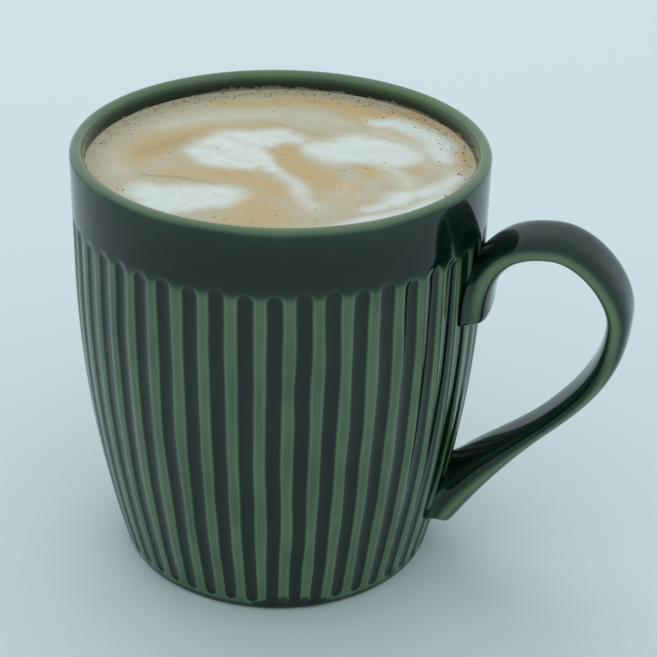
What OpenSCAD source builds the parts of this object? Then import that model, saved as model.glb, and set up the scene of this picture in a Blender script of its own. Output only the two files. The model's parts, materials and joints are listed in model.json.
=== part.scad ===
// A latte in a fluted stoneware mug with one strap handle.
// The mug stands on its foot at z = 0, its axis is Z and its handle points to +X.

/* [Body] */
// Height of the mug, from the foot to the top of the lip
mug_h = 96; // [80:0.5:120]
// Outer diameter at the widest height
mug_d = 88.4; // [76:0.2:104]
// Height of the straight part of the side, from the top of the lip down
straight_h = 26; // [18:1:34]
// Radius of the side's vertical bow: a smaller value tapers the foot more
bow_r = 270; // [240:5:400]
// Thickness of the wall and of the round lip
wall = 2.9; // [2.2:0.1:4]
// Thickness of the floor
floor_t = 5; // [4:0.5:8]
// Radius of the corner inside the bottom
bottom_round = 9; // [4:0.5:14]
// Radius of the bevelled foot edge
foot_round = 1.3; // [0.6:0.1:2]

/* [Flutes] */
// Number of flutes round the body
flute_count = 48; // [24:1:48]
// Width of a flute where it meets the side
flute_w = 3.5; // [2:0.1:3.6]
// Depth of a flute
flute_depth = 0.85; // [0.4:0.05:1.2]
// Height of the plain band, from the top of the lip down to the flutes' arched tops
plain_band = 13.6; // [10:0.2:36]
// Height of the lower end of the flutes
flute_foot = 2.4; // [2:0.2:12]
// Angle from the handle to the middle of the nearest flute
flute_turn = 0.8; // [0:0.1:7.5]

/* [Handle] */
// Distance from the axis to the middle of the strap where it stands out most
reach = 74.2; // [66:0.2:84]
// Depth of the top of the strap's bow below the top of the lip, to the strap's middle
bow_drop = 12.6; // [10:0.2:20]
// Depth of the strap's upper end below the top of its bow
root_drop = 17.1; // [12:0.1:20]
// Depth of the strap's widest reach below the top of its bow
out_drop = 15.9; // [12:0.1:20]
// Height of the strap's lower end
tail_z = 13.5; // [10:0.5:18]
// Width of the strap at the top of its bow
strap_w = 13.2; // [8:0.2:18]
// Thickness of the strap at the top of its bow
strap_t = 5; // [4:0.1:8]
// Width of the strap at its widest reach
grip_w = 14; // [8:0.2:18]
// Thickness of the strap at its widest reach
grip_t = 5.2; // [3.6:0.1:8]
// Width of the strap half-way down its lower run
waist_w = 10.8; // [8:0.2:18]
// Thickness of the strap half-way down its lower run
waist_t = 4; // [3.6:0.1:8]
// Sideways lean of the handle, in degrees, as hand-fixed handles have
handle_lean = 5; // [0:0.5:8]

/* [Latte] */
// Depth of the latte's surface below the top of the lip
latte_below = 4.6; // [4.6:0.1:30]
// Clearance between the latte and the wall
latte_gap = 0.15; // [0.1:0.05:0.3]

/* [Hidden] */
$fn = 64;

mug_r = mug_d / 2;
lip_r = wall / 2;
bow_x = mug_r - bow_r;
latte_z = mug_h - latte_below;
bow_z = mug_h - straight_h;
flute_top = mug_h - plain_band;
bow_top = mug_h - bow_drop;

// Radius, at height z, of the side's bow set in by an inset; straight above bow_z
function side_r(z, inset) =
    z < bow_z ? bow_x + sqrt(pow(bow_r - inset, 2) - pow(z - bow_z, 2)) : mug_r - inset;

// Points of an arc in the profile plane, from angle a to angle b
function arc(cx, cz, r, a, b, steps) =
    [for (i = [0 : steps]) let (t = a + (b - a) * i / steps) [cx + r * cos(t), cz + r * sin(t)]];

bowl_rows = 12;
// Inside of the cup below height top, set in from the outer side by an inset, up to the axis
function bowl_line(top, floor_z, inset) =
    let (corner_z = floor_z + bottom_round, corner_x = side_r(corner_z, inset) - bottom_round)
    let (bow_end = min(bow_z, top - lip_r))
    concat(
        [[0, floor_z]],
        arc(corner_x, corner_z, bottom_round, -90, 0, 6),
        [for (i = [1 : bowl_rows]) let (z = corner_z + (bow_end - corner_z) * i / bowl_rows)
            [side_r(z, inset), z]],
        [[side_r(top, inset), top]]
    );

// Rows of the outer surface, from the foot to the lip: [height, inset from the side,
// share of a flute's width, share of its depth]
half_w = flute_w / 2;
arch_steps = [0, 45, 90];
bow_rows = 6;
// Share of a flute's width that the rows keep where there is no flute
plain_share = 0.1;
lip_z = mug_h - lip_r;
lip_flat = 0.3;
function arch_row(z_end, way, a) = [z_end + way * half_w * (1 - cos(a)), 0, max(sin(a), plain_share), sin(a)];
function flute_rows() =
    let (low = flute_foot + half_w, high = flute_top - half_w)
    concat(
        [for (a = arch_steps) arch_row(flute_foot, 1, a)],
        [for (i = [1 : bow_rows - 1]) [low + (high - low) * i / bow_rows, 0, 1, 1]],
        [for (i = [len(arch_steps) - 1 : -1 : 0]) arch_row(flute_top, -1, arch_steps[i])]
    );
function lip_rows() =
    [for (a = [0, 30, 60]) [lip_z + lip_r * sin(a), lip_r * (1 - cos(a)), plain_share, 0]];
rows = concat(
    [[0, foot_round, plain_share, 0], [foot_round, 0, plain_share, 0]],
    flute_rows(),
    lip_rows(),
    [[mug_h, lip_r - lip_flat, plain_share, 0]]
);

// Four points across each flute: its two edges and the two corners of its bed, a share of its width
bed = 0.4;
flute_cuts = [[-1, 0], [-bed, 1], [bed, 1], [1, 0]];
function row_ring(row) =
    [for (i = [0 : flute_count - 1]) for (cut = flute_cuts)
        let (r = side_r(row[0], 0) - row[1])
        let (a = flute_turn + i * 360 / flute_count + cut[0] * row[2] * half_w / r * 180 / PI)
        let (d = r - cut[1] * row[3] * flute_depth)
        [d * cos(a), d * sin(a), row[0]]];

// Closed skin over a stack of rings with n points each
module skin(rings, n) {
    walls = [for (j = [0 : len(rings) - 2]) for (i = [0 : n - 1])
        [j * n + i, (j + 1) * n + i, (j + 1) * n + (i + 1) % n, j * n + (i + 1) % n]];
    first = [for (i = [0 : n - 1]) i];
    last = [for (i = [n - 1 : -1 : 0]) (len(rings) - 1) * n + i];
    polyhedron([for (r = rings) each r], concat(walls, [first, last]));
}

// The bowl: its side, floor and the inner half of the round lip
module bowl() {
    inner = mug_r - lip_r;
    rotate_extrude()
        polygon(concat(
            bowl_line(lip_z, floor_t, wall),
            [for (a = [150, 120]) [inner + lip_r * cos(a), lip_z + lip_r * sin(a)]],
            [[inner - lip_flat, mug_h], [inner - lip_flat, mug_h + 1], [0, mug_h + 1]]
        ));
}

// Handle: a strap swept along three Bezier curves. Both of its ends turn down along the wall.
// The bow's top lies at a share of the way from the wall to the widest reach
bow_share = 0.517;
root_proud = 0.1;
tail_proud = 0.6;
root = [mug_r + root_proud, bow_top - root_drop];
bow = [mug_r + bow_share * (reach - mug_r), bow_top];
out = [reach, bow_top - out_drop];
tail = [side_r(tail_z, 0) + tail_proud, tail_z];
// Pulls of the curves: how far each one follows its end's direction
root_pull = [0.4, 8.4];
bow_pulls = [12.4, 6.8];
out_pulls = [7, 23.4];
tail_pull = [8.2, 19];
tail_knee = [side_r(tail_z + tail_pull[1], 0) + tail_pull[0], tail_z + tail_pull[1]];
strap_curves = [
    [root, root + root_pull, bow - [bow_pulls[0], 0], bow],
    [bow, bow + [bow_pulls[1], 0], out + [0, out_pulls[0]], out],
    [out, out - [0, out_pulls[1]], tail_knee, tail]
];
// Thickness and width of the strap at the curves' ends, and half-way along the last one
root_size = [6.3, 15.4];
tail_size = [9.2, 17.6];
strap_sizes = [root_size, [strap_t, strap_w], [grip_t, grip_w], [waist_t, waist_w], tail_size];
curve_steps = 9;
cap_steps = 3;
cap_len = 3;
cap_end = 0.15;
section_sides = 16;
section_power = 2.6;

function bezier(c, t) =
    pow(1 - t, 3) * c[0] + 3 * pow(1 - t, 2) * t * c[1] + 3 * (1 - t) * t * t * c[2] + pow(t, 3) * c[3];
function bezier_way(c, t) =
    pow(1 - t, 2) * (c[1] - c[0]) + 2 * (1 - t) * t * (c[2] - c[1]) + t * t * (c[3] - c[2]);
function unit(v) = v / norm(v);
function eased(a, b, t) = a + (b - a) * t * t * (3 - 2 * t);
// The last curve passes its waist half-way
function size_at(k, t) =
    k < 2 ? eased(strap_sizes[k], strap_sizes[k + 1], t)
    : t < 0.5 ? eased(strap_sizes[2], strap_sizes[3], 2 * t)
    : eased(strap_sizes[3], strap_sizes[4], 2 * t - 1);

// Each station is [point, direction, thickness and width]
curve_stations = [
    for (k = [0 : 2]) for (i = [k == 0 ? 0 : 1 : curve_steps])
        let (t = i / curve_steps, c = strap_curves[k])
        [bezier(c, t), unit(bezier_way(c, t)), size_at(k, t)]
];
// Rounded ends: over cap_len beyond the first and the last station the section shrinks to its cap_end
function cap_station(st, side, i) =
    let (a = 90 * i / cap_steps)
    [st[0] + st[1] * side * cap_len * sin(a), st[1], st[2] * max(cos(a), cap_end)];
last_station = len(curve_stations) - 1;
stations = concat(
    [for (i = [cap_steps : -1 : 1]) cap_station(curve_stations[0], -1, i)],
    curve_stations,
    [for (i = [1 : cap_steps]) cap_station(curve_stations[last_station], 1, i)]
);
function power(v, e) = sign(v) * pow(abs(v), e);
function ring(st) =
    [for (i = [0 : section_sides - 1])
        let (a = 360 * i / section_sides, e = 2 / section_power)
        let (along = st[2][0] / 2 * power(cos(a), e), across = st[2][1] / 2 * power(sin(a), e))
        [st[0][0] - st[1][1] * along, -across, st[0][1] + st[1][0] * along]];

module strap() {
    translate([0, 0, mug_h / 2]) rotate([handle_lean, 0, 0]) translate([0, 0, -mug_h / 2])
        skin([for (st = stations) ring(st)], section_sides);
}

module mug() {
    color("#3c5348") {
        difference() {
            skin([for (row = rows) row_ring(row)], flute_count * len(flute_cuts));
            bowl();
        }
        // The strap reaches half-way into the wall
        difference() {
            strap();
            rotate_extrude() polygon(concat(bowl_line(mug_h, floor_t - lip_r, lip_r), [[0, mug_h]]));
        }
    }
}

module latte() {
    color("#c8b48f")
        rotate_extrude()
            polygon(concat(bowl_line(latte_z, floor_t + latte_gap, wall + latte_gap), [[0, latte_z]]));
}

mug();
latte();
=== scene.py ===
# %% [markdown]
# # A latte in its fluted mug
# A stoneware mug was cast in a mould, got its handle stuck on with slip, was dipped in a green
# glaze and fired. Milk foam on espresso fills it to just under the lip. This script dresses the
# CAD model in detailed meshes and materials, one step to a cell, for a reader who is
# learning Blender. Lengths are written in millimetres and turned to metres where a mesh is made.

# %% Load the frame
import json
import math
import bpy
import numpy as np
from mathutils import Matrix, Vector

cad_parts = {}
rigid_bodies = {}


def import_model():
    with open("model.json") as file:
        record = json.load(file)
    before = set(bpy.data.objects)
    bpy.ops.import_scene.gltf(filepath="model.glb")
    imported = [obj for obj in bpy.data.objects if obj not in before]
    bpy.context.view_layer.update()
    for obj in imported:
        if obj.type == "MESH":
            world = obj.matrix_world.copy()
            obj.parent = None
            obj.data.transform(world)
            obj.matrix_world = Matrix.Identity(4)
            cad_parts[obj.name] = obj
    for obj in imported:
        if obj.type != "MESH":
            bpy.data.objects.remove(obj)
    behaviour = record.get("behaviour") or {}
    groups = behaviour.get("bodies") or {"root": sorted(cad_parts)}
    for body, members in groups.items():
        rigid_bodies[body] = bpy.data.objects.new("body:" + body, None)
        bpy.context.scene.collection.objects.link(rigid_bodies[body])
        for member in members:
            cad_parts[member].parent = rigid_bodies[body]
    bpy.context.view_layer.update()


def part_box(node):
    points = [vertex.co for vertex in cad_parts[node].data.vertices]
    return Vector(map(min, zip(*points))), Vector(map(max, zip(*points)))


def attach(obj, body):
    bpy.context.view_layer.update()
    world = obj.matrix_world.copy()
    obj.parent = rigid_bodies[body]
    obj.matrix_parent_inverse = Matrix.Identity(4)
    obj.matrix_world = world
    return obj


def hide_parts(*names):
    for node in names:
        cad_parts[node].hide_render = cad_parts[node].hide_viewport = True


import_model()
MM = 0.001

# %% [markdown]
# ## Sizes
# The mug's own sizes, as a potter would note them. The frame gives the height, the diameter and
# the drink's level, so that the meshes land where the checked solids are.

# %% Sizes of the mug and the drink
mug_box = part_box("mug")
latte_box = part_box("latte")
MUG_H = mug_box[1][2] / MM
MUG_R = -mug_box[0][1] / MM
LEVEL = latte_box[1][2] / MM
WALL = 2.9
FLOOR_T = 5.0
BOW_R = 270.0
BOW_Z = MUG_H - 26.0
FOOT_ROUND = 1.3
BOTTOM_ROUND = 9.0
LIP_R = WALL / 2
FLUTES = 48
FLUTE_HALF = 1.75
FLUTE_DEPTH = 0.5
FLUTE_TOP = MUG_H - 13.6
FLUTE_FOOT = 2.4
FLUTE_TURN = 0.8


def side_r(z, inset=0.0):
    """Radius of the mug's gently bowed side at height z, set in by an inset."""
    if z >= BOW_Z:
        return MUG_R - inset
    return MUG_R - BOW_R + math.sqrt((BOW_R - inset) ** 2 - (z - BOW_Z) ** 2)


print("height", round(MUG_H, 2), "radius", round(MUG_R, 2), "drink at", round(LEVEL, 2))

# %% [markdown]
# ## Camera
# The camera stands in front of the mug and a little above, with the handle to its right. It is
# made from a view direction, a small roll and a position: it looks at a point near the
# middle of the mug, from 29 degrees above the table.

# %% The camera
camera_data = bpy.data.cameras.new("camera")
camera_data.lens = 93.76
camera_data.sensor_width = 36
camera = bpy.data.objects.new("camera", camera_data)
forward = Vector((-0.22890, 0.84695, -0.47989)).normalized()
side = forward.cross(Vector((0, 0, 1))).normalized()
up = side.cross(forward)
roll = math.radians(1.5217)
side, up = side * math.cos(roll) + up * math.sin(roll), up * math.cos(roll) - side * math.sin(roll)
camera.matrix_world = Matrix((side, up, -forward)).transposed().to_4x4()
camera.location = (0.0975, -0.3190, 0.2339)
camera_data.clip_start = 0.01
bpy.context.scene.collection.objects.link(camera)
bpy.context.scene.camera = camera
print("camera", [round(v, 3) for v in camera.location], "lens", camera_data.lens)

# %% [markdown]
# ## Helpers
# Two small tools serve every later cell. Colours are written as sRGB hex codes, as in any paint
# program, and one function turns them into the linear values that Blender's shaders expect. The
# other adds a node, sets its properties and fills its inputs, for materials and geometry alike.

# %% Colour and node helpers
def colour(code):
    """An sRGB hex code as the linear red, green, blue and alpha that a shader socket takes."""
    parts = [int(code[i:i + 2], 16) / 255 for i in (1, 3, 5)]
    return [p / 12.92 if p <= 0.04045 else ((p + 0.055) / 1.055) ** 2.4 for p in parts] + [1.0]


def add(tree, kind, inputs=(), **settings):
    """Adds a node: settings are its properties; an input given as a socket is linked."""
    node = tree.nodes.new(kind)
    for name, value in settings.items():
        setattr(node, name, value)
    for key, value in dict(inputs).items():
        if isinstance(value, bpy.types.NodeSocket):
            tree.links.new(value, node.inputs[key])
        else:
            node.inputs[key].default_value = value
    return node


def ramp(node, stops):
    """Sets a colour ramp's stops from (place, hex code) pairs."""
    points = node.color_ramp.elements
    while len(points) < len(stops):
        points.new(0.5)
    for point, (place, code) in zip(points, stops):
        point.position = place
        point.color = colour(code)


print("paper white", [round(v, 3) for v in colour("#cddce1")[:3]])

# %% [markdown]
# ## Glaze
# The mug is glazed stoneware: a pale body dipped in a copper-green glaze and fired until the
# glaze ran like glass. Where the glaze drained off edges it is thin and the pale body shows
# through as sage green; where it pooled, in the flutes and round the foot, it is nearly black.
# So the colour follows one number, the glaze's thickness, with painted highlight lines added along the
# flute brims and the strap's edges, and the gloss stays the same all over. The meshes carry two attributes
# for it: "cut", how far a point lies inside a flute in mm, and a second one for how thin the glaze is for
# other reasons, such as on the lip or along the strap's edges; on the strap it also holds painted highlight
# lines.

# %% Material: copper-green glaze on stoneware
glaze = bpy.data.materials.new("green_glaze_on_cast_stoneware")
glaze.use_nodes = True
t = glaze.node_tree
t.nodes.clear()
place = add(t, "ShaderNodeTexCoord").outputs["Object"]
height = add(t, "ShaderNodeSeparateXYZ", {0: place}).outputs["Z"]
cut = add(t, "ShaderNodeAttribute", attribute_name="cut").outputs["Fac"]
thin_glaze_and_highlight = add(t, "ShaderNodeAttribute", attribute_name="thin_glaze_and_highlight").outputs["Fac"]
# Slow drift of the glaze's thickness over 15 mm, and runs drawn out along the height
drift = add(t, "ShaderNodeTexNoise", {"Vector": place, "Scale": 70.0, "Detail": 3.0}).outputs["Fac"]
tall = add(t, "ShaderNodeMapping", {"Vector": place, "Scale": (260.0, 260.0, 45.0)}).outputs[0]
runs = add(t, "ShaderNodeTexNoise", {"Vector": tall, "Scale": 1.0, "Detail": 4.0}).outputs["Fac"]
# Ridges lie outside the cut; the glaze thins over the last millimetre up to them
ridge = add(t, "ShaderNodeMapRange", {"Value": cut, 1: -0.25, 2: 0.7, 3: 1.0, 4: 0.0},
            interpolation_type="SMOOTHSTEP").outputs[0]
below_top = add(t, "ShaderNodeMapRange", {"Value": height, 1: (FLUTE_TOP - 2.2) * MM,
                2: (FLUTE_TOP + 1.2) * MM, 3: 1.0, 4: 0.0}, interpolation_type="SMOOTHSTEP").outputs[0]
pool = add(t, "ShaderNodeMapRange", {"Value": drift, 1: 0.5, 2: 0.64, 3: 0.0, 4: -2.6 * MM}).outputs[0]
above_pool = add(t, "ShaderNodeMath", {0: height, 1: pool}, operation="ADD").outputs[0]
above_foot = add(t, "ShaderNodeMapRange", {"Value": above_pool, 1: 0.8 * MM, 2: 2.6 * MM},
                 interpolation_type="SMOOTHSTEP").outputs[0]
in_zone = add(t, "ShaderNodeMath", {0: below_top, 1: above_foot}, operation="MULTIPLY").outputs[0]
on_ridge = add(t, "ShaderNodeMath", {0: ridge, 1: in_zone}, operation="MULTIPLY").outputs[0]
# The brim of each flute sheds its glaze: a pale soft line about 1 mm wide round the cut, partly thin glaze
# and partly a painted highlight on the groove's edge
brim_break_and_highlight = add(t, "ShaderNodeMath", {0: cut, 1: -0.1}, operation="SUBTRACT").outputs[0]
brim_break_and_highlight = add(t, "ShaderNodeMath", {0: brim_break_and_highlight}, operation="ABSOLUTE").outputs[0]
brim_break_and_highlight = add(t, "ShaderNodeMapRange", {"Value": brim_break_and_highlight, 1: 0.0, 2: 0.6, 3: 1.0, 4: 0.0},
           interpolation_type="SMOOTHSTEP").outputs[0]
brim_break_and_highlight = add(t, "ShaderNodeMath", {0: brim_break_and_highlight, 1: above_foot}, operation="MULTIPLY").outputs[0]
ridge_tone = add(t, "ShaderNodeMapRange", {"Value": runs, 1: 0.3, 2: 0.7, 3: 0.5, 4: 0.64}).outputs[0]
ridge_level = add(t, "ShaderNodeMath", {0: on_ridge, 1: ridge_tone}, operation="MULTIPLY").outputs[0]
# The brims' pale line, part thin glaze and part painted highlight, is added to the ridges' level
brim_break_and_highlight_level = add(t, "ShaderNodeMath", {0: brim_break_and_highlight, 1: 0.12, 2: ridge_level}, operation="MULTIPLY_ADD").outputs[0]
edge_level = add(t, "ShaderNodeMath", {0: brim_break_and_highlight_level, 1: thin_glaze_and_highlight}, operation="MAXIMUM").outputs[0]
shift = add(t, "ShaderNodeMapRange", {"Value": drift, 1: 0.3, 2: 0.7, 3: -0.04, 4: 0.07}).outputs[0]
# The glaze's thinness, with the painted highlight lines in it, picks the colour from the ramp
thinness_and_highlight = add(t, "ShaderNodeMath", {0: edge_level, 1: shift}, operation="ADD", use_clamp=True).outputs[0]
glaze_ramp = add(t, "ShaderNodeValToRGB", {"Fac": thinness_and_highlight})
ramp(glaze_ramp, [(0.0, "#061a14"), (0.3, "#1b3424"), (0.62, "#50684f"), (0.8, "#687757"), (1.0, "#878a5e")])
# Iron specks: rare brown dots under half a millimetre
specks = add(t, "ShaderNodeTexVoronoi", {"Vector": place, "Scale": 120.0, "Randomness": 1.0})
rare = add(t, "ShaderNodeSeparateColor", {0: specks.outputs["Color"]}).outputs[0]
rare = add(t, "ShaderNodeMath", {0: rare, 1: 0.965}, operation="GREATER_THAN").outputs[0]
dot = add(t, "ShaderNodeMapRange", {"Value": specks.outputs["Distance"], 1: 0.02, 2: 0.05,
          3: 1.0, 4: 0.0}).outputs[0]
dot = add(t, "ShaderNodeMath", {0: dot, 1: rare}, operation="MULTIPLY").outputs[0]
specked = add(t, "ShaderNodeMix", {0: dot, 6: glaze_ramp.outputs[0], 7: colour("#20180e")},
              data_type="RGBA").outputs[2]
# The wiped foot: bare stoneware shows in a thin ragged line above the table
ragged = add(t, "ShaderNodeMapRange", {"Value": drift, 1: 0.35, 2: 0.65, 3: -0.35 * MM, 4: 0.35 * MM})
edge_z = add(t, "ShaderNodeMath", {0: height, 1: ragged.outputs[0]}, operation="ADD").outputs[0]
bare = add(t, "ShaderNodeMapRange", {"Value": edge_z, 1: 0.3 * MM, 2: 0.55 * MM, 3: 1.0, 4: 0.0}).outputs[0]
body_colour = add(t, "ShaderNodeMix", {0: bare, 6: specked, 7: colour("#b7ac9b")},
                  data_type="RGBA").outputs[2]
gloss = add(t, "ShaderNodeMapRange", {"Value": bare, 3: 0.07, 4: 0.85}).outputs[0]
# Orange-peel ripple of a run glaze, 2 to 3 mm across
ripple = add(t, "ShaderNodeTexNoise", {"Vector": place, "Scale": 380.0, "Detail": 2.0}).outputs["Fac"]
skin = add(t, "ShaderNodeBump", {"Strength": 0.1, "Distance": 0.12 * MM, "Height": ripple}).outputs[0]
shader = add(t, "ShaderNodeBsdfPrincipled", {"Base Color": body_colour, "Roughness": gloss,
             "IOR": 1.45, "Normal": skin})
add(t, "ShaderNodeOutputMaterial", {0: shader.outputs[0]})
print("glaze nodes:", len(t.nodes))

# %% [markdown]
# ## Milk foam
# Steamed milk is a froth of bubbles too small to see, so it scatters light like matte paint that
# is slightly wet. Espresso carried up with the milk stains it from white to caramel. The foam's
# mesh holds a "pour" attribute with three wide, soft fields: milk, caramel and brown. The
# material sharpens them with fine noise, which draws the feathered edges of a free pour.

# %% Material: steamed milk foam
foam = bpy.data.materials.new("steamed_milk_foam")
foam.use_nodes = True
t = foam.node_tree
t.nodes.clear()
place = add(t, "ShaderNodeTexCoord").outputs["Object"]
pour = add(t, "ShaderNodeAttribute", attribute_name="pour").outputs["Color"]
pour = add(t, "ShaderNodeSeparateColor", {0: pour})
wash = add(t, "ShaderNodeTexNoise", {"Vector": place, "Scale": 130.0, "Detail": 5.0,
           "Distortion": 0.8}).outputs["Fac"]
fine = add(t, "ShaderNodeTexNoise", {"Vector": place, "Scale": 1500.0, "Detail": 3.0}).outputs["Fac"]
feather = add(t, "ShaderNodeMath", {0: wash, 1: 0.46, 2: pour.outputs[0]},
              operation="MULTIPLY_ADD").outputs[0]
milk = add(t, "ShaderNodeMapRange", {"Value": feather, 1: 0.2, 2: 1.22},
           interpolation_type="SMOOTHSTEP").outputs[0]
streaks = add(t, "ShaderNodeTexNoise", {"Vector": place, "Scale": 85.0, "Detail": 6.0, "Distortion": 2.2})
streaks = add(t, "ShaderNodeMapRange", {"Value": streaks.outputs["Fac"], 1: 0.3, 2: 0.6, 3: 0.72,
              4: 1.0}).outputs[0]
milk = add(t, "ShaderNodeMath", {0: milk, 1: streaks}, operation="MULTIPLY").outputs[0]
stain = add(t, "ShaderNodeMath", {0: wash, 1: 0.6, 2: pour.outputs[1]}, operation="MULTIPLY_ADD").outputs[0]
stain = add(t, "ShaderNodeMapRange", {"Value": stain, 1: 0.3, 2: 1.15},
            interpolation_type="SMOOTHSTEP").outputs[0]
tan = add(t, "ShaderNodeMix", {0: stain, 6: colour("#c8b698"), 7: colour("#cdac7c")},
          data_type="RGBA").outputs[2]
brown = add(t, "ShaderNodeMix", {0: pour.outputs[2], 6: tan, 7: colour("#a88a63")},
            data_type="RGBA").outputs[2]
white = add(t, "ShaderNodeMix", {0: milk, 6: brown, 7: colour("#e6e5df")}, data_type="RGBA").outputs[2]
grain = add(t, "ShaderNodeMapRange", {"Value": fine, 1: 0.3, 2: 0.7, 3: 0.95, 4: 1.04}).outputs[0]
tinted = add(t, "ShaderNodeVectorMath", {0: white, "Scale": grain}, operation="SCALE").outputs[0]
# The film that clings to the wall is too thin to hide the dark glaze behind it; the dark green mixed in
# stands for that glaze and for painted shade on the film
film = add(t, "ShaderNodeAttribute", attribute_name="film").outputs["Fac"]
seen_through_and_shaded = add(t, "ShaderNodeMix", {0: film, 6: tinted, 7: colour("#1f2e22")}, data_type="RGBA").outputs[2]
froth = add(t, "ShaderNodeBump", {"Strength": 0.25, "Distance": 0.12 * MM, "Height": fine}).outputs[0]
shader = add(t, "ShaderNodeBsdfPrincipled", {"Base Color": seen_through_and_shaded, "Roughness": 0.5, "IOR": 1.35,
             "Normal": froth})
add(t, "ShaderNodeOutputMaterial", {0: shader.outputs[0]})
print("foam nodes:", len(t.nodes))

# %% [markdown]
# ## The mug's body
# The body is a solid of revolution with 48 flutes pressed into it. It could be lathed and then
# cut 48 times, but cutting leaves ragged meshes. Here Geometry Nodes bend a flat grid round the
# mug instead: the grid's rows follow a wall line, drawn once from foot to lip and down into the
# bowl, and a formula sinks each flute. The rows are close together only where the shape turns.

# %% The wall line, from the middle of the base, up the outside, over the lip and into the bowl
# Heights of the bowl's rows below the lip
BOWL_ROWS = [92.8, 91.4, 89.0, 84.0, 76.0, 66.0, 54.0, 40.0, 26.0]
LIP_STEPS = 14


def wall_line():
    """Points (radius, outside flag, height) in mm."""
    foot_r = side_r(FOOT_ROUND) - FOOT_ROUND
    line = [(r, 1, 0.0) for r in (0.0, 12.0, 24.0, 31.0, foot_r)]
    for step in range(1, 5):
        a = math.radians(-90 + 90 * step / 4)
        z = FOOT_ROUND * (1 + math.sin(a))
        line.append((side_r(z) - FOOT_ROUND * (1 - math.cos(a)), 1, z))
    ends = [1.7, 2.0] + [FLUTE_FOOT + 0.3 * i for i in range(9)]
    run = [FLUTE_FOOT + 2.6 + (FLUTE_TOP - 7.0 - FLUTE_FOOT) * i / 22 for i in range(1, 22)]
    arch = [FLUTE_TOP - 4.0 + 0.25 * i for i in range(21)]
    band = [FLUTE_TOP + 2.4, FLUTE_TOP + 4.5, FLUTE_TOP + 7.0, FLUTE_TOP + 9.5, MUG_H - LIP_R]
    line += [(side_r(z), 1, z) for z in ends + run + arch + band]
    for step in range(1, LIP_STEPS):
        a = math.pi * step / LIP_STEPS
        flag = 1 if step < LIP_STEPS / 2 else 0
        line.append((MUG_R - LIP_R + LIP_R * math.cos(a), flag, MUG_H - LIP_R + LIP_R * math.sin(a)))
    corner_z = FLOOR_T + BOTTOM_ROUND
    corner_r = side_r(corner_z, WALL) - BOTTOM_ROUND
    line += [(side_r(z, WALL), 0, z) for z in [MUG_H - LIP_R] + BOWL_ROWS]
    for step in range(0, 6):
        a = math.radians(-90 * step / 5)
        line.append((corner_r + BOTTOM_ROUND * math.cos(a), 0, corner_z + BOTTOM_ROUND * math.sin(a)))
    return line + [(14.0, 0, FLOOR_T), (0.0, 0, FLOOR_T)]


wall_points = wall_line()
wall_mesh = bpy.data.meshes.new("wall_line")
wall_mesh.from_pydata([(r * MM, flag, z * MM) for r, flag, z in wall_points], [], [])
wall_object = bpy.data.objects.new("wall_line", wall_mesh)
bpy.context.scene.collection.objects.link(wall_object)
print("rows on the wall line:", len(wall_points))

# %% The tree that bends a grid into the fluted body
COLUMNS = FLUTES * 18
flute_tree = bpy.data.node_groups.new("fluted_body", "GeometryNodeTree")
face = flute_tree.interface
INPUTS = {"Wall line": "NodeSocketObject", "Flutes": "NodeSocketFloat", "Half width": "NodeSocketFloat",
          "Depth": "NodeSocketFloat", "Top": "NodeSocketFloat", "Foot": "NodeSocketFloat",
          "Turn": "NodeSocketFloat", "Widest radius": "NodeSocketFloat", "Wobble": "NodeSocketFloat",
          "Uneven tops": "NodeSocketFloat", "Seed": "NodeSocketInt", "Glaze": "NodeSocketMaterial"}
for name, kind in INPUTS.items():
    face.new_socket(name, in_out="INPUT", socket_type=kind)
face.new_socket("Geometry", in_out="OUTPUT", socket_type="NodeSocketGeometry")
t = flute_tree
given = add(t, "NodeGroupInput").outputs
grid = add(t, "GeometryNodeMeshGrid", {"Size X": 1.0, "Size Y": 1.0, "Vertices X": COLUMNS + 1,
           "Vertices Y": len(wall_points)}).outputs[0]
flat = add(t, "ShaderNodeSeparateXYZ", {0: add(t, "GeometryNodeInputPosition").outputs[0]})
angle = add(t, "ShaderNodeMapRange", {"Value": flat.outputs["X"], 1: -0.5, 2: 0.5, 3: 0.0,
            4: 2 * math.pi}).outputs[0]
row = add(t, "ShaderNodeMapRange", {"Value": flat.outputs["Y"], 1: -0.5, 2: 0.5, 3: 0.0,
          4: len(wall_points) - 1.0}).outputs[0]
row = add(t, "FunctionNodeFloatToInt", {0: row}, rounding_mode="ROUND").outputs[0]
line = add(t, "GeometryNodeObjectInfo", {"Object": given["Wall line"]}).outputs["Geometry"]
point = add(t, "GeometryNodeSampleIndex", {"Geometry": line, "Value": add(
    t, "GeometryNodeInputPosition").outputs[0], "Index": row}, data_type="FLOAT_VECTOR").outputs[0]
point = add(t, "ShaderNodeSeparateXYZ", {0: point})
radius = point.outputs["X"]
outside = point.outputs["Y"]
z = point.outputs["Z"]
# Which flute a column belongs to, and how far it lies from that flute's middle
turned = add(t, "ShaderNodeMath", {0: angle, 1: given["Turn"]}, operation="SUBTRACT").outputs[0]
share = add(t, "ShaderNodeMath", {0: turned, 1: given["Flutes"]}, operation="MULTIPLY").outputs[0]
share = add(t, "ShaderNodeMath", {0: share, 1: 2 * math.pi}, operation="DIVIDE").outputs[0]
number = add(t, "ShaderNodeMath", {0: share}, operation="ROUND").outputs[0]
across = add(t, "ShaderNodeMath", {0: share, 1: number}, operation="SUBTRACT").outputs[0]
across = add(t, "ShaderNodeMath", {0: across, 1: 2 * math.pi}, operation="MULTIPLY").outputs[0]
across = add(t, "ShaderNodeMath", {0: across, 1: given["Flutes"]}, operation="DIVIDE").outputs[0]
across = add(t, "ShaderNodeMath", {0: across, 1: given["Widest radius"]}, operation="MULTIPLY").outputs[0]
# The last column is the first one again, so it takes the same flute number
number = add(t, "ShaderNodeMath", {0: number, 1: given["Flutes"]}, operation="FLOORED_MODULO").outputs[0]
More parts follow.
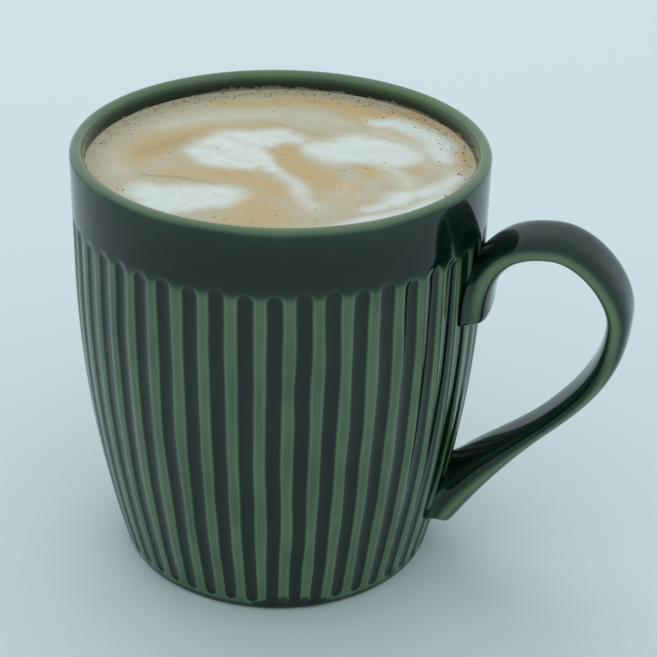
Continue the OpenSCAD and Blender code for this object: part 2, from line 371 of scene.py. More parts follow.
# Hand-finished edges wander a little along each flute
wander = add(t, "ShaderNodeCombineXYZ", {0: add(t, "ShaderNodeMath", {0: number, 1: 7.3},
             operation="MULTIPLY").outputs[0], 1: add(t, "ShaderNodeMath", {0: z, 1: 55.0},
             operation="MULTIPLY").outputs[0], 2: given["Seed"]}).outputs[0]
wander = add(t, "ShaderNodeTexNoise", {"Vector": wander, "Scale": 1.0, "Detail": 1.0}).outputs["Fac"]
wander = add(t, "ShaderNodeMapRange", {"Value": wander, 1: 0.25, 2: 0.75, 3: -1.0, 4: 1.0}).outputs[0]
across = add(t, "ShaderNodeMath", {0: wander, 1: given["Wobble"], 2: across},
             operation="MULTIPLY_ADD").outputs[0]
uneven = add(t, "FunctionNodeRandomValue", {2: -1.0, 3: 1.0, "ID": number, "Seed": given["Seed"]},
             data_type="FLOAT").outputs[1]
top = add(t, "ShaderNodeMath", {0: uneven, 1: given["Uneven tops"], 2: given["Top"]},
          operation="MULTIPLY_ADD").outputs[0]
# Distance from the middle line of a slot with round ends
over = add(t, "ShaderNodeMath", {0: z, 1: top}, operation="SUBTRACT").outputs[0]
over = add(t, "ShaderNodeMath", {0: over, 1: given["Half width"]}, operation="ADD").outputs[0]
under = add(t, "ShaderNodeMath", {0: given["Foot"], 1: z}, operation="SUBTRACT").outputs[0]
under = add(t, "ShaderNodeMath", {0: under, 1: given["Half width"]}, operation="ADD").outputs[0]
past = add(t, "ShaderNodeMath", {0: over, 1: under}, operation="MAXIMUM").outputs[0]
past = add(t, "ShaderNodeMath", {0: past, 1: 0.0}, operation="MAXIMUM").outputs[0]
away = add(t, "ShaderNodeVectorMath", {0: add(t, "ShaderNodeCombineXYZ", {0: across, 1: past}).outputs[0]},
           operation="LENGTH").outputs[1]
inside = add(t, "ShaderNodeMath", {0: given["Half width"], 1: away}, operation="SUBTRACT").outputs[0]
inside = add(t, "ShaderNodeMath", {0: inside, 1: 1000.0}, operation="MULTIPLY").outputs[0]
# Outside the slot the mark keeps falling below zero; the bowl has thick glaze, as in a flute
slope = add(t, "ShaderNodeMapRange", {"Value": inside, 1: -0.95, 2: 1.45},
            interpolation_type="SMOOTHSTEP").outputs[0]
slope = add(t, "ShaderNodeMath", {0: slope, 1: outside}, operation="MULTIPLY").outputs[0]
sunk = add(t, "ShaderNodeMath", {0: slope, 1: given["Depth"]}, operation="MULTIPLY").outputs[0]
radius = add(t, "ShaderNodeMath", {0: radius, 1: sunk}, operation="SUBTRACT").outputs[0]
x = add(t, "ShaderNodeMath", {0: angle}, operation="COSINE").outputs[0]
x = add(t, "ShaderNodeMath", {0: x, 1: radius}, operation="MULTIPLY").outputs[0]
y = add(t, "ShaderNodeMath", {0: angle}, operation="SINE").outputs[0]
y = add(t, "ShaderNodeMath", {0: y, 1: radius}, operation="MULTIPLY").outputs[0]
bent = add(t, "ShaderNodeCombineXYZ", {0: x, 1: y, 2: z}).outputs[0]
mark = add(t, "ShaderNodeMix", {0: outside, 2: 5.0, 3: inside}, data_type="FLOAT").outputs[0]
marked = add(t, "GeometryNodeStoreNamedAttribute", {"Geometry": grid, "Name": "cut", "Value": mark},
             data_type="FLOAT", domain="POINT").outputs[0]
marked = add(t, "GeometryNodeStoreNamedAttribute", {"Geometry": marked, "Name": "outside", "Value": outside},
             data_type="FLOAT", domain="POINT").outputs[0]
bent = add(t, "GeometryNodeSetPosition", {"Geometry": marked, "Position": bent}).outputs[0]
bent = add(t, "GeometryNodeMergeByDistance", {"Geometry": bent, "Distance": 0.01 * MM}).outputs[0]
bent = add(t, "GeometryNodeSetShadeSmooth", {"Geometry": bent}).outputs[0]
bent = add(t, "GeometryNodeRealizeInstances", {"Geometry": bent}).outputs[0]
bent = add(t, "GeometryNodeSetMaterial", {"Geometry": bent, "Material": given["Glaze"]}).outputs[0]
add(t, "NodeGroupOutput", {0: bent})
print("tree nodes:", len(t.nodes))


# %% Run the tree and keep its mesh
def grown(name, tree, values):
    """Runs a Geometry Nodes tree on an empty mesh and returns its result as a plain object."""
    seed_object = bpy.data.objects.new(name + "_seed", bpy.data.meshes.new(name + "_seed"))
    bpy.context.scene.collection.objects.link(seed_object)
    live = seed_object.modifiers.new("grow", "NODES")
    live.node_group = tree
    for item in tree.interface.items_tree:
        if item.item_type == "SOCKET" and item.in_out == "INPUT":
            live[item.identifier] = values[item.name]
    seen_by = bpy.context.evaluated_depsgraph_get()
    mesh = bpy.data.meshes.new_from_object(seed_object.evaluated_get(seen_by), depsgraph=seen_by)
    bpy.data.objects.remove(seed_object)
    mesh.name = name
    made = bpy.data.objects.new(name, mesh)
    bpy.context.scene.collection.objects.link(made)
    return made


body = grown("mug_body", flute_tree, {
    "Wall line": wall_object, "Flutes": float(FLUTES), "Half width": FLUTE_HALF * MM,
    "Depth": FLUTE_DEPTH * MM, "Top": FLUTE_TOP * MM, "Foot": FLUTE_FOOT * MM,
    "Turn": math.radians(FLUTE_TURN), "Widest radius": MUG_R * MM, "Wobble": 0.26 * MM,
    "Uneven tops": 0.5 * MM, "Seed": 11, "Glaze": glaze})
bpy.data.objects.remove(wall_object)
body.data.calc_loop_triangles()
print("mug body:", len(body.data.vertices), "points,", len(body.data.loop_triangles), "triangles")

# %% [markdown]
# The glaze drains off the lip while the dipped mug dries, so the lip is the palest part of the
# mug. A few lines write that into the attribute for thin glaze: strongest on the lip's crest and gone
# 6.5 mm below it outside and 3.8 mm below it in the bowl. The glaze ran down a little further in
# some places than in others, so the outer edge of the pale rim wavers round the mug.

# %% Thin glaze on the lip
def write_attribute(mesh, name, values):
    """Stores one number for each point of a mesh."""
    layer = mesh.attributes.get(name) or mesh.attributes.new(name, "FLOAT", "POINT")
    layer.data.foreach_set("value", np.asarray(values, dtype=np.float32))


def points_of(mesh):
    """A mesh's points as an array, in millimetres."""
    flat_list = np.empty(len(mesh.vertices) * 3, dtype=np.float32)
    mesh.vertices.foreach_get("co", flat_list)
    return flat_list.reshape(-1, 3) / MM


def smooth(low, high, value):
    """Smoothstep from 0 at low to 1 at high."""
    s = np.clip((value - low) / (high - low), 0, 1)
    return s * s * (3 - 2 * s)


body_points = points_of(body.data)
outside_flag = np.empty(len(body_points), dtype=np.float32)
body.data.attributes["outside"].data.foreach_get("value", outside_flag)
from_crest = MUG_H - body_points[:, 2]
body_turn = np.arctan2(body_points[:, 1], body_points[:, 0])
run_down = 2.1 + 0.2 * np.sin(5 * body_turn + 1) + 0.15 * np.sin(13 * body_turn)
lip_out = 0.58 * (1 - smooth(0.05, run_down, from_crest)) ** 2 + 0.2 * (1 - smooth(0.0, 6.5, from_crest))
lip_in = 0.78 * (1 - smooth(0.1, 3.8, from_crest)) ** 1.3
write_attribute(body.data, "thin_glaze_and_highlight", np.where(outside_flag > 0.5, lip_out, np.maximum(lip_in, 0.12)))
print("lip thinness up to", round(float(lip_out.max()), 2))

# %% [markdown]
# ## The handle
# The handle is a pulled strap of clay, oval in section, that was pressed on while soft: its upper
# end turns down along the wall and its lower end drags out into a tail. A strap like this could
# be a bevelled curve, but a bevel keeps one section. Here a rounded oval is swept along three
# Bezier curves in code, so that its width and thickness change on the way.

# %% The strap's route and sizes
REACH = 74.2
BOW_DROP = 12.6
BOW_SHARE = 0.517
ROOT_DROP = 17.1
OUT_DROP = 15.9
TAIL_Z = 13.5
KNEE_Z = TAIL_Z + 19
bow_top = MUG_H - BOW_DROP
root = np.array([MUG_R + 0.1, bow_top - ROOT_DROP])
bow = np.array([MUG_R + BOW_SHARE * (REACH - MUG_R), bow_top])
out = np.array([REACH, bow_top - OUT_DROP])
tail = np.array([side_r(TAIL_Z) + 0.6, TAIL_Z])
knee = np.array([side_r(KNEE_Z) + 8.2, KNEE_Z])
# Each curve's two middle points pull it along the direction of its ends
CURVES = [
    (root, root + (0.4, 8.4), bow - (12.4, 0), bow),
    (bow, bow + (6.8, 0), out + (0, 7.0), out),
    (out, out - (0, 23.4), knee, tail),
]
# Thickness and width at the curves' ends and at a waist half-way along the last curve
SECTIONS = np.array([(6.3, 15.4), (5.0, 13.2), (5.2, 14.0), (4.0, 10.8), (9.2, 17.6)])
PLACES = (0.0, 1.0, 2.0, 2.5, 3.0)
LEAN = 5.0
CAP = 3
print("strap reaches", round(REACH, 2), "mm from the axis")


# %% Sweep the strap
def stations(steps):
    """Middle point, direction and (thickness, width) along the strap, with rounded ends."""
    found = []
    for k, (a, b, c, d) in enumerate(CURVES):
        for i in range(0 if k == 0 else 1, steps + 1):
            s = i / steps
            mid = (1 - s) ** 3 * a + 3 * (1 - s) ** 2 * s * b + 3 * (1 - s) * s * s * c + s ** 3 * d
            way = (1 - s) ** 2 * (b - a) + 2 * (1 - s) * s * (c - b) + s * s * (d - c)
            j = min(int(np.searchsorted(PLACES, k + s, side="right")) - 1, 3)
            swell = float(smooth(PLACES[j], PLACES[j + 1], k + s))
            size = SECTIONS[j] * (1 - swell) + SECTIONS[j + 1] * swell
            found.append((mid, way / np.linalg.norm(way), size))
    ends = []
    for (mid, way, size), sign in ((found[0], -1), (found[-1], 1)):
        turns = [math.radians(90 * i / 8) for i in range(1, 9)]
        ends.append([(mid + way * sign * CAP * math.sin(a), way, size * max(math.cos(a), 0.02))
                     for a in turns])
    return ends[0][::-1] + found + ends[1]


SIDES = 64
POWER = 2.6
FILLET = 2.6
# The glaze thins over the whole side of the bow. On the lower run two pale lines follow the edges,
# partly thin glaze on the corners and partly painted light: a painted highlight near the outer edge
# and a fainter painted reflection near the inner edge. c is 1 on the outer face, 0 on the side and -1 on the
# inner face.
rings = []
edge_thin_and_highlight = []
for mid, way, (thick, wide) in stations(40):
    for i in range(SIDES):
        a = 2 * math.pi * i / SIDES
        c, s = math.cos(a), math.sin(a)
        along = thick / 2 * math.copysign(abs(c) ** (2 / POWER), c)
        across = wide / 2 * math.copysign(abs(s) ** (2 / POWER), s)
        rings.append((mid[0] - way[1] * along, -across, mid[1] + way[0] * along))
        upper = float(smooth(50.0, 66.0, mid[1]))
        # Painted highlight near the outer edge and painted reflection near the inner edge, each partly thin
        # glaze
        outer_highlight_line = math.exp(-((c - 0.24) / 0.26) ** 2)
        inner_reflection_line = math.exp(-((c + 0.62) / 0.12) ** 2)
        inner_side = math.exp(-((c + 0.08) / 0.42) ** 2)
        low_run_thin_and_highlight = 0.8 * outer_highlight_line + 0.3 * inner_reflection_line
        top_bow = 0.74 * inner_side
        edge_thin_and_highlight.append(0.02 + low_run_thin_and_highlight + (top_bow - low_run_thin_and_highlight) * upper)
lean = Matrix.Rotation(math.radians(LEAN), 3, "X")
middle = Vector((0, 0, MUG_H / 2))
rings = [lean @ (Vector(p) - middle) + middle for p in rings]
count = len(rings) // SIDES
faces = [(j * SIDES + i, (j + 1) * SIDES + i, (j + 1) * SIDES + (i + 1) % SIDES, j * SIDES + (i + 1) % SIDES)
         for j in range(count - 1) for i in range(SIDES)]
faces += [tuple(range(SIDES)), tuple(reversed(range((count - 1) * SIDES, count * SIDES)))]
strap_mesh = bpy.data.meshes.new("mug_handle")
strap_mesh.from_pydata([tuple(p * MM) for p in rings], [], [tuple(reversed(f)) for f in faces])
strap_mesh.update()
strap_mesh.shade_smooth()
strap_mesh.materials.append(glaze)
handle = bpy.data.objects.new("mug_handle", strap_mesh)
bpy.context.scene.collection.objects.link(handle)
# The strap has no ridges: its glaze is as thick as in a flute, except at its thin edges and painted highlight
# lines, written below
write_attribute(strap_mesh, "cut", np.full(len(rings), 5.0))
edge_thin_and_highlight = np.array(edge_thin_and_highlight)
strap_points = points_of(strap_mesh)
from_axis = np.hypot(strap_points[:, 0], strap_points[:, 1])
wall_gap = from_axis - np.array([side_r(p[2]) for p in strap_points])
# Slip smeared into the joint: near the wall the skin flares out along it in a quarter round
normals = np.empty(len(rings) * 3, dtype=np.float32)
strap_mesh.vertices.foreach_get("normal", normals)
normals = normals.reshape(-1, 3)
away = strap_points * (1, 1, 0) / from_axis[:, None]
along_wall = (normals - away * np.sum(normals * away, axis=1)[:, None]) * (1, 1, 0.3)
near = np.clip(1 - wall_gap / FILLET, 0, 1)
flare = FILLET * (1 - np.sqrt(1 - near ** 2))
strap_points = strap_points + along_wall * flare[:, None]
strap_mesh.vertices.foreach_set("co", (strap_points * MM).astype(np.float32).ravel())
strap_mesh.update()
seam = 0.3 * (1 - smooth(0.1, 0.9, np.abs(wall_gap - 0.6)))
# Thin glaze together with the painted highlight and reflection lines, faded where the strap meets the wall
write_attribute(strap_mesh, "thin_glaze_and_highlight", np.maximum(edge_thin_and_highlight * (1 - 0.8 * near), seam))
strap_area = sum(f.area for f in strap_mesh.polygons)
print("strap:", len(rings), "points, surface", round(strap_area * 1e4, 1), "cm2")

# %% [markdown]
# ## The latte
# The drink fills the bowl. Its unseen body follows the bowl and reaches a little into the wall,
# so no gap shows. Its top is a fine disc of rings: the milk field is drawn on it by strokes, each
# a chain of round blobs, as a barista's pour leaves them.

# %% The pour: fields of milk, caramel and brown over the surface
def stroke(x, y, blobs, soft):
    """1 inside a chain of round blobs (x, y, radius) in mm, falling to 0 over a soft edge."""
    best = np.full(x.shape, -9.0)
    for (x0, y0, r0), (x1, y1, r1) in zip(blobs, blobs[1:] or blobs):
        dx, dy = x1 - x0, y1 - y0
        span = dx * dx + dy * dy
        s = np.clip(((x - x0) * dx + (y - y0) * dy) / span, 0, 1) if span else 0 * x
        gap = (r0 + (r1 - r0) * s) - np.hypot(x - x0 - s * dx, y - y0 - s * dy)
        best = np.maximum(best, gap)
    return smooth(-soft, soft, best)


MILK = [
    # front left: a fat petal whose right end fades
    (1.0, 3.6, [(-20.5, -23, 4), (-14, -24, 7.5), (-7, -22, 5)]),
    # middle left: a lobe with a shoulder behind it, and a tail drawn out to the front right
    (1.0, 3.4, [(-18, 1, 3.5), (-13, -1, 5), (-7, -2, 4.5)]),
    (0.95, 3.4, [(-18, 5, 2.5), (-13, 9, 5.5), (-6, 10.5, 5), (-1, 11, 3)]),
    (1.0, 3.0, [(-10, 5, 5), (-5.5, 0, 3.2), (0, -5.5, 2)]),
    (0.66, 3.0, [(0, -5.5, 1.8), (6, -12, 1.6), (13, -18.5, 1.4)]),
    # middle right: a broad lobe that thins out towards the handle
    (1.0, 3.8, [(6, 9, 4), (11, 10, 6.5), (16, 12, 7)]),
    (0.9, 4.2, [(11, 16, 4), (19, 12, 6), (25, 9, 4.5)]),
    (0.6, 4.4, [(22, 4, 2.5), (27, 1, 2), (28, -8, 1.5)]),
    # a band along the back right, and a veil between it and the lobe
    (0.9, 3.4, [(12.5, 28.5, 1.8), (17, 29.5, 2.4), (24, 24.5, 3), (30, 18, 3.4), (33, 12, 2.4)]),
    (0.5, 5.0, [(16, 23, 3), (26, 15, 3), (31, 6, 2)]),
    # patches along the front right
    (1.0, 3.0, [(27, -12, 3.2), (29, -9, 2)]),
    (0.95, 2.8, [(23.5, -18, 1.8), (25, -16, 2)]),
    (0.95, 3.0, [(31.5, -7, 2.4), (36, -1, 2), (38, 4, 1.6)]),
    (1.0, 3.0, [(11, -34, 1.8), (20, -31, 3.6), (28, -25, 4.6), (34, -17, 4), (38, -6, 2.6)]),
    # thin washes of milk left between the strokes
    (0.4, 4.5, [(16, -3, 1.5), (15.5, -12, 1), (14, -20, 1)]),
    (0.36, 4.5, [(21, -5, 1), (19, -15, 1)]),
    (0.45, 6.0, [(-30, 10, 2), (-22, 20, 2.5), (-8, 26, 2), (6, 25, 1.5)]),
    (0.36, 6.0, [(-36, -8, 2), (-32, -18, 2)]),
    (0.42, 5.0, [(34, 10, 2.0), (38, 2, 2.5), (37, -8, 2.5)]),
]
CARAMEL = [
    (1.0, 4.5, [(0, 3, 3.5), (4, -1, 4), (7, -3, 3)]),
    (1.0, 4.0, [(5, -2, 4), (12, -7, 4), (16, -8, 3)]),
    (0.95, 3.5, [(20, -1, 2), (20, 2, 2)]),
    (0.9, 3.0, [(29, 3, 1.6), (31, 5, 1.4)]),
    (0.8, 4.0, [(7, 30, 2.5), (14, 25, 2), (22, 20, 1.5)]),
    (1.0, 3.2, [(-24, 27, 1.2), (-10, 33, 1.8), (4, 35, 2.4), (20, 33, 2), (30, 25, 1.8), (37, 12, 1.6)]),
    (0.9, 6.0, [(-31, -9, 3), (-26, 2, 4), (-20, 12, 3), (-10, 18, 1.5)]),
    (0.85, 6.0, [(-20, -12, 2), (-8, -10, 4), (2, -14, 4)]),
    (0.75, 6.0, [(-1, -22, 4), (6, -27, 5), (1, -34, 3)]),
    (0.7, 5.0, [(10, -16, 3), (20, -14, 2)]),
]
# Places where caramel wells up through the milk
WELLS = [
    (1.0, 2.6, [(-1, 8, 1.5), (0.5, 4, 3), (2.5, -1, 3.4), (6, -4, 3)]),
    (0.8, 2.4, [(16, 3, 1), (20, 1, 2.2), (23, 2, 1)]),
    (0.6, 2.4, [(28.5, 4, 1.6), (31, 5, 1.4)]),
]
BROWN = [
    (0.75, 0.8, [(-25, -16, 0.3), (-18, -14.8, 0.35), (-11, -15.2, 0.3), (-2, -18.6, 0.1)]),
    (0.6, 4.0, [(-29, -4, 1.5), (-24, 4, 1.5), (-19, 10, 1)]),
    (0.45, 0.9, [(-7, 20, 0.2), (3, 16.5, 0.3), (9, 17.5, 0.2)]),
    (0.35, 0.8, [(-19, 7, 0.1), (-12, 5.5, 0.2), (-6, 7.5, 0.1)]),
]


def pour_fields(x, y):
    """The three fields at places in mm, after a slow swirl that bends every stroke's edge."""
    u = x + 0.9 * np.sin(y / 5.3 + 0.4) + 0.5 * np.sin(x / 2.9 - y / 4.1)
    v = y + 0.9 * np.sin(x / 4.7 - 1.1) + 0.5 * np.sin(y / 2.7 + x / 3.6)
    milky = np.max([much * stroke(u, v, blobs, soft) for much, soft, blobs in MILK], axis=0)
    warm = np.max([much * stroke(u, v, blobs, soft) for much, soft, blobs in CARAMEL], axis=0)
    dark = np.max([much * stroke(x, y, blobs, soft) for much, soft, blobs in BROWN], axis=0)
    well = np.max([much * stroke(u, v, blobs, soft) for much, soft, blobs in WELLS], axis=0)
    return milky * (1 - 0.85 * well), np.maximum(warm, well), dark


print("strokes:", len(MILK), "of milk,", len(CARAMEL), "of caramel,", len(BROWN), "of brown")

# %% The latte's mesh
INTO_WALL = 0.3
MENISCUS = 0.55
surface_r = side_r(LEVEL, WALL) + INTO_WALL
inner_rings = np.linspace(0, 1, 96)[1:] * surface_r
profile = []
for r in inner_rings:
    profile.append((r, LEVEL + MENISCUS * float(smooth(surface_r - 2.6, surface_r, r)) ** 2))
low_z = FLOOR_T - INTO_WALL
corner_z = low_z + BOTTOM_ROUND
profile += [(side_r(z, WALL) + INTO_WALL, z) for z in (84.0, 70.0, 50.0, 30.0, corner_z)]
corner_r = side_r(corner_z, WALL) + INTO_WALL - BOTTOM_ROUND
profile += [(corner_r + BOTTOM_ROUND * math.cos(a), corner_z + BOTTOM_ROUND * math.sin(a))
            for a in (-0.4, -0.8, -1.2, -math.pi / 2)]
AROUND = 384
points = [(0, 0, LEVEL)]
for r, level in profile:
    points += [(r * math.cos(2 * math.pi * i / AROUND), r * math.sin(2 * math.pi * i / AROUND), level)
               for i in range(AROUND)]
points.append((0, 0, low_z))
last = len(points) - 1
faces = [(0, 1 + i, 1 + (i + 1) % AROUND) for i in range(AROUND)]
for j in range(len(profile) - 1):
    near, far = 1 + j * AROUND, 1 + (j + 1) * AROUND
    faces += [(near + i, far + i, far + (i + 1) % AROUND, near + (i + 1) % AROUND) for i in range(AROUND)]
near = last - AROUND
faces += [(last, near + (i + 1) % AROUND, near + i) for i in range(AROUND)]
latte_mesh = bpy.data.meshes.new("latte")
latte_mesh.from_pydata([tuple(c * MM for c in p) for p in points], [], faces)
latte_mesh.update()
latte_mesh.shade_smooth()
latte_mesh.materials.append(foam)
latte_points = points_of(latte_mesh)
milk_field, caramel_field, brown_field = pour_fields(latte_points[:, 0], latte_points[:, 1])
paint = latte_mesh.attributes.new("pour", "FLOAT_COLOR", "POINT")
paint.data.foreach_set("color", np.stack(
    [milk_field, caramel_field, brown_field, np.ones(len(points))], axis=1).astype(np.float32).ravel())
write_attribute(latte_mesh, "film", np.zeros(len(points)))
drink = bpy.data.objects.new("latte_drink", latte_mesh)
bpy.context.scene.collection.objects.link(drink)
print("latte:", len(points), "points, top disc radius", round(surface_r, 2))

# %% [markdown]
# ## The film on the wall
# As the drink was poured and carried, foam washed up the wall and drained back, and left a torn
# film with thin spikes. It is one strip of mesh round the bowl, closed at the back inside the
# wall. Its top edge follows a few heights and a fine ragged noise, and a "film" attribute says
# how much dark green is mixed in: partly the dark glaze showing through where the film is thin,
# most at its upper edge, and partly painted shade on the film.

# %% The film
FILM_TOP = [(0, 2.2), (17, 2.4), (36, 1.4), (52, 0.9), (61, 2.0), (70, 2.1), (79, 0.8), (90, 1.6), (110, 2.0),
            (133, 1.9), (142, 0.4), (157, 1.3), (171, 0.9), (185, 0.4), (230, 0.6), (280, 0.5), (330, 0.8),
            (360, 2.2)]
TURNS = 1440
film_rng = np.random.default_rng(5)
degrees = np.arange(TURNS) * 360 / TURNS
film_height = np.interp(degrees, *zip(*FILM_TOP))
for cells, much in ((90, 0.9), (240, 1.3), (720, 0.8)):
    knots = film_rng.random(cells + 1) ** 3
    knots[-1] = knots[0]
    film_height += much * (np.interp(degrees * cells / 360, np.arange(cells + 1), knots) - 0.3)
film_height = np.clip(film_height * 0.5, 0.12, 2.2)
ROWS = 9
film_points = []
film_dark_glaze_and_shade = []
# Every row of the film gets a share of dark green: the glaze showing through, plus painted shade that darkens
# even its foot
for k in range(ROWS):
    share = k / (ROWS - 1)
    proud = 0.32 * (1 - share) ** 1.5 + 0.02
    for angle_deg, tall in zip(degrees, film_height):
        z = LEVEL + 0.2 + share * tall
        r = side_r(z, WALL) - proud
        film_points.append((r * math.cos(math.radians(angle_deg)), r * math.sin(math.radians(angle_deg)), z))
        film_dark_glaze_and_shade.append(0.4 + 0.45 * share ** 0.8)
for k in (1, 0):
    for angle_deg, tall in zip(degrees, film_height):
        z = LEVEL + 0.2 + k * tall
        r = side_r(z, WALL) + 0.2
        film_points.append((r * math.cos(math.radians(angle_deg)), r * math.sin(math.radians(angle_deg)), z))
        film_dark_glaze_and_shade.append(0.9)
bands = ROWS + 2
faces = [(j * TURNS + i, ((j + 1) % bands) * TURNS + i, ((j + 1) % bands) * TURNS + (i + 1) % TURNS,
          j * TURNS + (i + 1) % TURNS) for j in range(bands) for i in range(TURNS)]
film_mesh = bpy.data.meshes.new("foam_film")
film_mesh.from_pydata([tuple(c * MM for c in p) for p in film_points], [], faces)
film_mesh.update()
film_mesh.shade_smooth()
film_mesh.materials.append(foam)
write_attribute(film_mesh, "film", film_dark_glaze_and_shade)
film_paint = film_mesh.attributes.new("pour", "FLOAT_COLOR", "POINT")
film_paint.data.foreach_set("color", np.tile((0.1, 0.2, 0.0, 1.0), len(film_points)).astype(np.float32))
film_piece = bpy.data.objects.new("foam_film", film_mesh)
bpy.context.scene.collection.objects.link(film_piece)
print("film:", len(film_points), "points, up to", round(float(film_height.max()), 2), "mm high")

# %% [markdown]
# ## Bubbles
# Coarse bubbles gather where the surface meets the wall, most of them burst to dark pits. Setting
# out hundreds of them by hand would be slow, so Geometry Nodes scatter points over the drink's
# own top, densely near the wall and thinly elsewhere, and put one small flattened dome on each.
# The pit is painted on the dome: its dark colour is painted shade of the hollow, in a tone that varies at
# random.

# %% Material: burst bubbles, dark with painted pit shade
pit = bpy.data.materials.new("burst_bubble_painted_pit_shade")
pit.use_nodes = True
t = pit.node_tree
t.nodes.clear()
tint = add(t, "ShaderNodeAttribute", attribute_name="tint").outputs["Fac"]
# Painted shade of each pit, from dark to pale at random
pit_shade_ramp = add(t, "ShaderNodeValToRGB", {"Fac": tint})
ramp(pit_shade_ramp, [(0.0, "#2a261a"), (0.45, "#6e6249"), (1.0, "#ab9c7f")])
shader = add(t, "ShaderNodeBsdfPrincipled", {"Base Color": pit_shade_ramp.outputs[0], "Roughness": 0.3,
             "IOR": 1.35})
add(t, "ShaderNodeOutputMaterial", {0: shader.outputs[0]})
print("pit nodes:", len(t.nodes))

# %% Scatter the bubbles
bubble_tree = bpy.data.node_groups.new("bubbles", "GeometryNodeTree")
INPUTS = {"Drink": "NodeSocketObject", "Level": "NodeSocketFloat", "Wall radius": "NodeSocketFloat",
          "Ring width": "NodeSocketFloat", "Ring density": "NodeSocketFloat",
          "Open density": "NodeSocketFloat",
          "Smallest": "NodeSocketFloat", "Largest": "NodeSocketFloat", "Seed": "NodeSocketInt",
          "Pit": "NodeSocketMaterial"}
for name, kind in INPUTS.items():
    bubble_tree.interface.new_socket(name, in_out="INPUT", socket_type=kind)
bubble_tree.interface.new_socket("Geometry", in_out="OUTPUT", socket_type="NodeSocketGeometry")
t = bubble_tree
given = add(t, "NodeGroupInput").outputs
surface = add(t, "GeometryNodeObjectInfo", {"Object": given["Drink"]}).outputs["Geometry"]
at = add(t, "GeometryNodeInputPosition").outputs[0]
at_parts = add(t, "ShaderNodeSeparateXYZ", {0: at})
flat_at = add(t, "ShaderNodeCombineXYZ", {0: at_parts.outputs["X"], 1: at_parts.outputs["Y"]}).outputs[0]
from_axis = add(t, "ShaderNodeVectorMath", {0: flat_at}, operation="LENGTH").outputs[1]
inner_edge = add(t, "ShaderNodeMath", {0: given["Wall radius"], 1: given["Ring width"]},
                 operation="SUBTRACT").outputs[0]
near_wall = add(t, "ShaderNodeMapRange", {"Value": from_axis, 1: inner_edge, 2: given["Wall radius"]},
                interpolation_type="SMOOTHSTEP").outputs[0]
# Bubbles drift away from the tilt of the last sip or pour, so one side has more
far_side = add(t, "ShaderNodeMapRange", {"Value": at_parts.outputs["Y"], 1: -0.01, 2: 0.02, 3: 0.12,
               4: 1.0}).outputs[0]
near_wall = add(t, "ShaderNodeMath", {0: near_wall, 1: far_side}, operation="MULTIPLY").outputs[0]
density = add(t, "ShaderNodeMath", {0: near_wall, 1: given["Ring density"], 2: given["Open density"]},
              operation="MULTIPLY_ADD").outputs[0]
lowest = add(t, "ShaderNodeMath", {0: given["Level"], 1: 0.1 * MM}, operation="SUBTRACT").outputs[0]
on_top = add(t, "ShaderNodeMath", {0: at_parts.outputs["Z"], 1: lowest}, operation="GREATER_THAN").outputs[0]
clear = add(t, "ShaderNodeMath", {0: given["Wall radius"], 1: from_axis}, operation="GREATER_THAN").outputs[0]
density = add(t, "ShaderNodeMath", {0: density, 1: on_top}, operation="MULTIPLY").outputs[0]
density = add(t, "ShaderNodeMath", {0: density, 1: clear}, operation="MULTIPLY").outputs[0]
spots = add(t, "GeometryNodeDistributePointsOnFaces", {"Mesh": surface, "Density": density,
            "Seed": given["Seed"]}).outputs["Points"]
dome = add(t, "GeometryNodeMeshUVSphere", {"Segments": 8, "Rings": 5, "Radius": 1.0}).outputs[0]
dome = add(t, "GeometryNodeTransform", {"Geometry": dome, "Scale": (1.0, 1.0, 0.3)}).outputs[0]
luck = add(t, "FunctionNodeRandomValue", {2: 0.0, 3: 1.0, "Seed": 3}, data_type="FLOAT").outputs[1]
luck = add(t, "ShaderNodeMath", {0: luck, 1: 6.0}, operation="POWER").outputs[0]
size = add(t, "ShaderNodeMapRange", {"Value": luck, 3: given["Smallest"], 4: given["Largest"]}).outputs[0]
domes = add(t, "GeometryNodeInstanceOnPoints", {"Points": spots, "Instance": dome, "Scale": size}).outputs[0]
shade = add(t, "FunctionNodeRandomValue", {2: 0.0, 3: 1.0, "Seed": 8}, data_type="FLOAT").outputs[1]
domes = add(t, "GeometryNodeStoreNamedAttribute", {"Geometry": domes, "Name": "tint", "Value": shade},
            data_type="FLOAT", domain="INSTANCE").outputs[0]
domes = add(t, "GeometryNodeRealizeInstances", {"Geometry": domes}).outputs[0]
domes = add(t, "GeometryNodeSetShadeSmooth", {"Geometry": domes}).outputs[0]
domes = add(t, "GeometryNodeSetMaterial", {"Geometry": domes, "Material": given["Pit"]}).outputs[0]
add(t, "NodeGroupOutput", {0: domes})
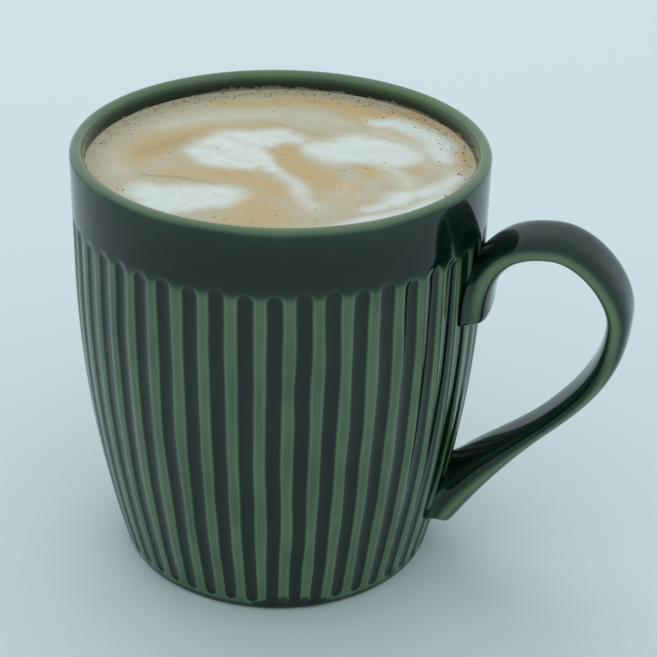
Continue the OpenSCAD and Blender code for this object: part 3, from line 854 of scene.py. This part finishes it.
bubbles = grown("foam_bubbles", bubble_tree, {
    "Drink": drink, "Level": LEVEL * MM, "Wall radius": (side_r(LEVEL, WALL) - 0.5) * MM,
    "Ring width": 6.5 * MM,
    "Ring density": 4.0e6, "Open density": 6.0e4, "Smallest": 0.06 * MM, "Largest": 0.3 * MM, "Seed": 4,
    "Pit": pit})
print("bubbles:", len(bubbles.data.vertices) // 34, "domes,", len(bubbles.data.polygons), "faces")

# %% [markdown]
# ## Floor and light
# A pale table and a bright, even room, as in a light tent: a sky of one cool tone lights
# everything and shows in the glaze as a soft veil, and one broad lamp behind and above the mug
# throws the faint shadow forward and to the right.

# %% Floor, sky and lamp
floor_material = bpy.data.materials.new("matte_paper")
floor_material.use_nodes = True
paper = floor_material.node_tree.nodes["Principled BSDF"]
paper.inputs["Base Color"].default_value = colour("#e0e6e7")
paper.inputs["Roughness"].default_value = 0.8
bpy.ops.mesh.primitive_circle_add(vertices=96, radius=3.0, fill_type="NGON", location=(0, 0, 0))
floor = bpy.context.object
floor.name = "floor"
floor.data.materials.append(floor_material)
world = bpy.data.worlds.new("tent")
world.use_nodes = True
sky = world.node_tree.nodes["Background"]
sky.inputs["Color"].default_value = colour("#d0e1e6")
sky.inputs["Strength"].default_value = 1.05
bpy.context.scene.world = world
lamp_data = bpy.data.lights.new("softbox", "AREA")
lamp_data.shape = "DISK"
lamp_data.size = 1.6
lamp_data.energy = 6.0
lamp_data.color = (0.93, 0.98, 1.0)
lamp = bpy.data.objects.new("softbox", lamp_data)
lamp.location = (-0.45, 0.8, 1.5)
lamp.visible_glossy = False
aim = Vector((0, 0, 0.04)) - lamp.location
lamp.rotation_euler = aim.to_track_quat("-Z", "Y").to_euler()
bpy.context.scene.collection.objects.link(lamp)
bpy.context.scene.view_settings.view_transform = "Standard"
print("lamp", round(aim.length, 2), "m away")

# %% [markdown]
# ## The pieces on their bodies
# Each piece is hung on the CAD body it rides on, and the CAD node it stands for is hidden from
# the viewport and the render.

for piece, node, slot_name in ((body, "mug", "glazed_stoneware"), (handle, "mug", "glazed_stoneware"),
                               (drink, "latte", "milk_foam"), (film_piece, "latte", "milk_foam"),
                               (bubbles, "latte", "milk_foam")):
    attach(piece, "root")
    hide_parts(node)
